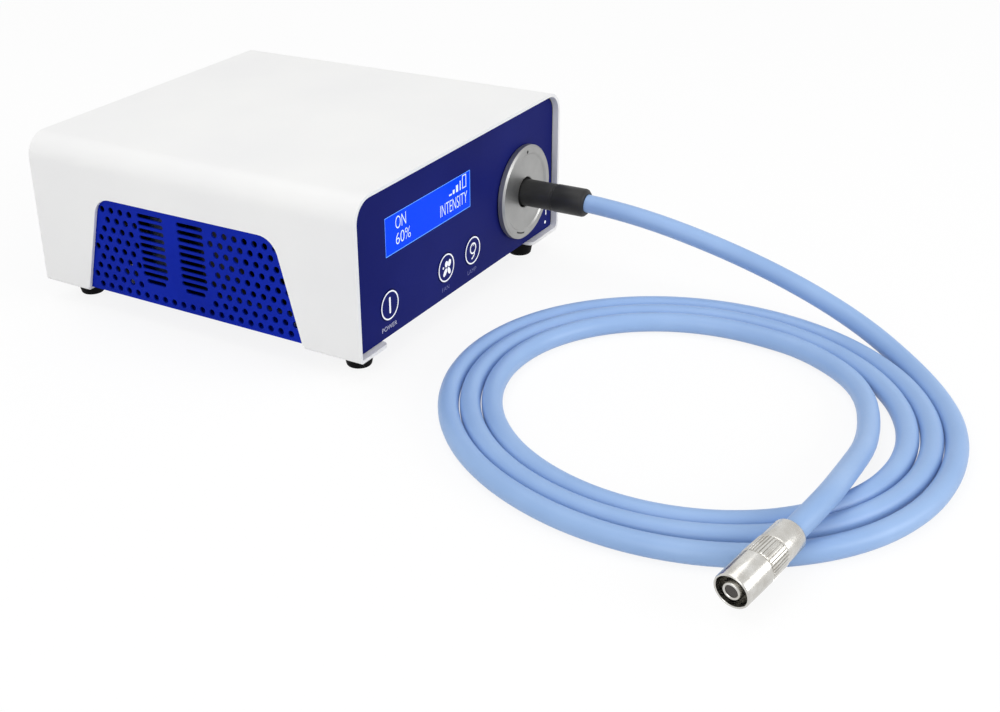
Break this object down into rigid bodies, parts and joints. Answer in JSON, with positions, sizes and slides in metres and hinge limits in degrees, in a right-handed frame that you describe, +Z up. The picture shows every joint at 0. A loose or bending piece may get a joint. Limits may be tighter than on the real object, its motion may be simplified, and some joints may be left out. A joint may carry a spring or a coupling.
{
  "type": "fiber optic illuminator",
  "caption": "Bench cold light source with a wrapped sheet cover, perforated sides, a display, round keys and a brightness dial round the light port, with its coiled light cable.",
  "frame": {"origin": "on the table under the middle of the case", "axes": "+X to the right as the front is seen, the front faces -Y, +Z up"},
  "size_m": [0.2334, 0.3909, 0.077],
  "materials": {
    "cover_paint": "satin white powder coat",
    "blue_paint": "satin royal blue powder coat",
    "panel_film": "navy front film",
    "window_tint": "clear blue",
    "display_blue": "backlit blue display",
    "board_green": "solder mask",
    "plated_steel": "zinc plated",
    "dial_metal": "turned and anodised",
    "key_plastic": "navy key cap",
    "black_plastic": "moulded black",
    "foot_rubber": "moulded",
    "bare_aluminium": "extruded",
    "steel_ferrule": "turned stainless steel",
    "pin_brass": "plated",
    "winding_tape": "yellow tape",
    "capacitor_sleeve": "shrink sleeve",
    "chip_phosphor": "phosphor",
    "lens_glass": "polished",
    "cable_jacket": "light blue flexible jacket",
    "fibre_black": "polished fibre bundle in resin"
  },
  "bodies": {
    "case": {"wrap_cover": "cover_paint", "base_tray": "blue_paint", "grille_left": "blue_paint", "grille_right": "blue_paint", "corner_brackets": "plated_steel", "front_panel": "panel_film", "display_window": "window_tint", "rear_panel": "blue_paint", "rubber_feet": "foot_rubber", "display_board": "board_green", "display_frame": "plated_steel", "display_glass": "display_blue", "display_spacers": "plated_steel", "key_board": "board_green", "tact_switches": "black_plastic", "key_spacers": "plated_steel", "dial_encoder": "black_plastic", "light_socket": "bare_aluminium", "optics_bracket": "plated_steel", "lens_holder": "black_plastic", "condenser_lens": "lens_glass", "led_board": "board_green", "led_emitter": "chip_phosphor", "heat_sink": "bare_aluminium", "fan_frame": "black_plastic", "inlet_housing": "black_plastic", "inlet_pins": "pin_brass", "power_board": "board_green", "board_standoffs": "plated_steel", "panel_screws": "plated_steel", "board_screws": "plated_steel", "transformer": "winding_tape", "capacitors": "capacitor_sleeve", "board_heat_sinks": "bare_aluminium"},
    "dial": {"intensity_dial": "dial_metal", "dial_hub": "bare_aluminium"},
    "power_button": {"power_key": "key_plastic"},
    "fan_button": {"fan_key": "key_plastic"},
    "lamp_button": {"lamp_key": "key_plastic"},
    "fan": {"fan_rotor": "black_plastic"},
    "rocker": {"main_rocker": "black_plastic"},
    "drawer": {"fuse_drawer": "black_plastic"},
    "light_guide": {"cable_plug": "black_plastic", "plug_ferrule": "steel_ferrule", "cable_lead": "cable_jacket", "cable_coil": "cable_jacket", "cable_tail": "cable_jacket", "connector_rear": "steel_ferrule", "connector_ring": "steel_ferrule", "connector_sleeve": "steel_ferrule", "connector_core": "steel_ferrule", "fibre_face": "fibre_black"}
  },
  "joints": [
    {"name": "dial_turn", "type": "hinge", "parent": "case", "child": "dial", "pos_m": [0.051, -0.085, 0.0374], "axis": [0, 1, 0], "range_deg": [-162, 108]},
    {"name": "power_press", "type": "slide", "parent": "case", "child": "power_button", "axis": [0, 1, 0], "range_m": [0, 0.0004], "stiffness_N_per_m": 800},
    {"name": "fan_press", "type": "slide", "parent": "case", "child": "fan_button", "axis": [0, 1, 0], "range_m": [0, 0.0004], "stiffness_N_per_m": 800},
    {"name": "lamp_press", "type": "slide", "parent": "case", "child": "lamp_button", "axis": [0, 1, 0], "range_m": [0, 0.0004], "stiffness_N_per_m": 800},
    {"name": "fan_spin", "type": "hinge", "parent": "case", "child": "fan", "pos_m": [0.04, 0.068, 0.0422], "axis": [0, 1, 0], "continuous": true},
    {"name": "rocker_tilt", "type": "hinge", "parent": "case", "child": "rocker", "pos_m": [-0.05, 0.083, 0.0575], "axis": [1, 0, 0], "range_deg": [-16, 0]},
    {"name": "drawer_slide", "type": "slide", "parent": "case", "child": "drawer", "axis": [0, 1, 0], "range_m": [0, 0.018]},
    {"name": "plug_slide", "type": "slide", "parent": "case", "child": "light_guide", "axis": [0, -1, 0], "range_m": [0, 0.016]}
  ]
}
